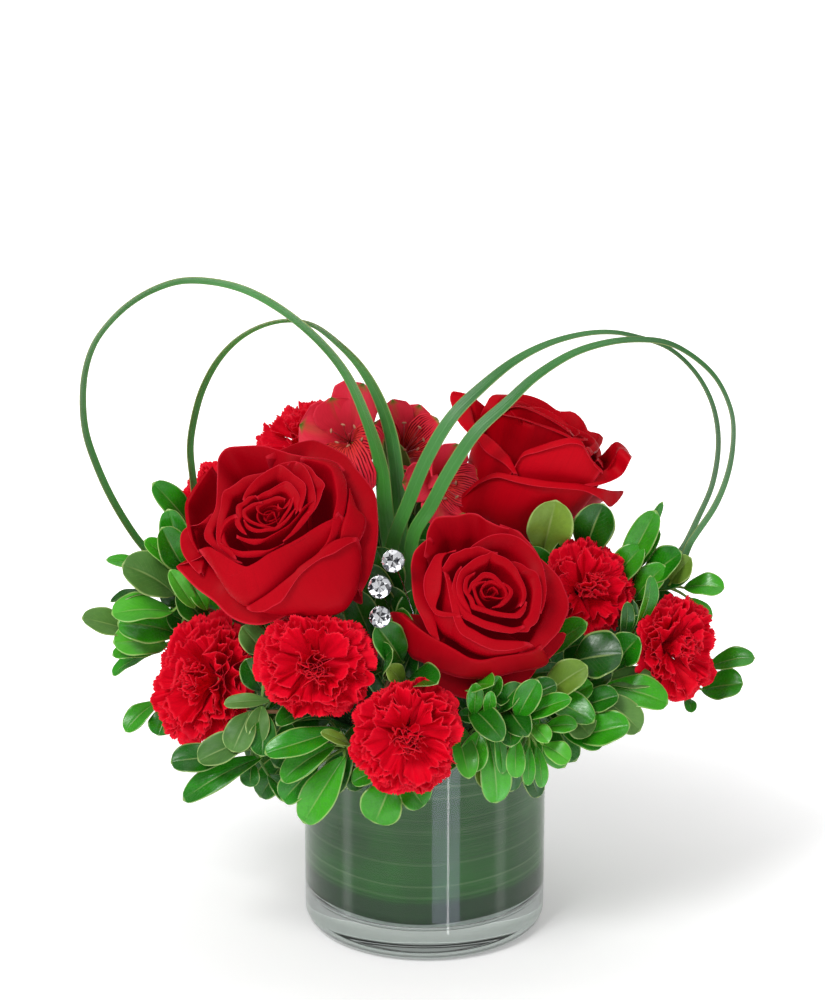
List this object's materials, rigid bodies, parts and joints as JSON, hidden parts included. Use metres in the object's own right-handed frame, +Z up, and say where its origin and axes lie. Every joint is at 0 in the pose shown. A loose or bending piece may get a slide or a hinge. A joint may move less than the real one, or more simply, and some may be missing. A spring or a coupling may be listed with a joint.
{
  "type": "carnations and roses in a vase",
  "caption": "Clear glass cylinder vase lined with a green leaf, with red carnations, three roses, alstroemeria, glossy cream-edged foliage, four grass blades looped as a heart and three gem pins.",
  "frame": {"origin": "centre of the vase's round underside, on the surface it stands on", "axes": "+Z up out of the vase mouth; the front of the arrangement faces -Y; +X is to the right seen from the front"},
  "size_m": [0.3483, 0.2394, 0.353],
  "materials": {
    "clear_glass": "polished, clear, thick base",
    "liner_leaf": "smooth leaf with fine pale veins, seen through glass",
    "wet_foam": "matt, fine open cells, wet",
    "grass_blade": "satin, ribbed lengthways",
    "cut_gem": "brilliant cut, clear",
    "pin_metal": "bright",
    "green_stem": "satin",
    "rose_petal": "velvety",
    "carnation_petal": "matt, toothed edge",
    "alstroemeria_petal": "satin, dark streaks inside",
    "foliage_leaf": "glossy, cream edge"
  },
  "bodies": {
    "root": {"vase": "clear_glass", "leaf_liner": "liner_leaf", "floral_foam": "wet_foam", "alstroemeria_left": "alstroemeria_petal", "alstroemeria_middle": "alstroemeria_petal", "alstroemeria_right": "alstroemeria_petal", "alstroemeria_stem": "green_stem", "carnation_centre": "carnation_petal", "carnation_centre_stem": "green_stem", "carnation_far_right": "carnation_petal", "carnation_far_right_stem": "green_stem", "carnation_left": "carnation_petal", "carnation_left_stem": "green_stem", "carnation_low": "carnation_petal", "carnation_low_stem": "green_stem", "carnation_rear": "carnation_petal", "carnation_rear_left": "carnation_petal", "carnation_rear_left_stem": "green_stem", "carnation_rear_stem": "green_stem", "carnation_right": "carnation_petal", "carnation_right_stem": "green_stem", "foliage_back_centre_high": "foliage_leaf", "foliage_back_centre_low": "foliage_leaf", "foliage_back_left_high": "foliage_leaf", "foliage_back_left_low": "foliage_leaf", "foliage_back_right_high": "foliage_leaf", "foliage_back_right_low": "foliage_leaf", "foliage_centre": "foliage_leaf", "foliage_front_left": "foliage_leaf", "foliage_front_low": "foliage_leaf", "foliage_front_right": "foliage_leaf", "foliage_left_front": "foliage_leaf", "foliage_left_lower": "foliage_leaf", "foliage_left_middle": "foliage_leaf", "foliage_left_outer": "foliage_leaf", "foliage_left_upper": "foliage_leaf", "foliage_rear_right_upper": "foliage_leaf", "foliage_right_front": "foliage_leaf", "foliage_right_inner": "foliage_leaf", "foliage_right_low": "foliage_leaf", "foliage_right_middle": "foliage_leaf", "foliage_right_outer": "foliage_leaf", "foliage_right_upper": "foliage_leaf", "gem_lower": "cut_gem", "gem_middle": "cut_gem", "gem_upper": "cut_gem", "grass_blade_1": "grass_blade", "grass_blade_2": "grass_blade", "grass_blade_3": "grass_blade", "grass_blade_4": "grass_blade", "pin_lower": "pin_metal", "pin_middle": "pin_metal", "pin_upper": "pin_metal", "rose_front": "rose_petal", "rose_front_stem": "green_stem", "rose_left": "rose_petal", "rose_left_stem": "green_stem", "rose_rear": "rose_petal", "rose_rear_stem": "green_stem"}
  },
  "joints": []
}
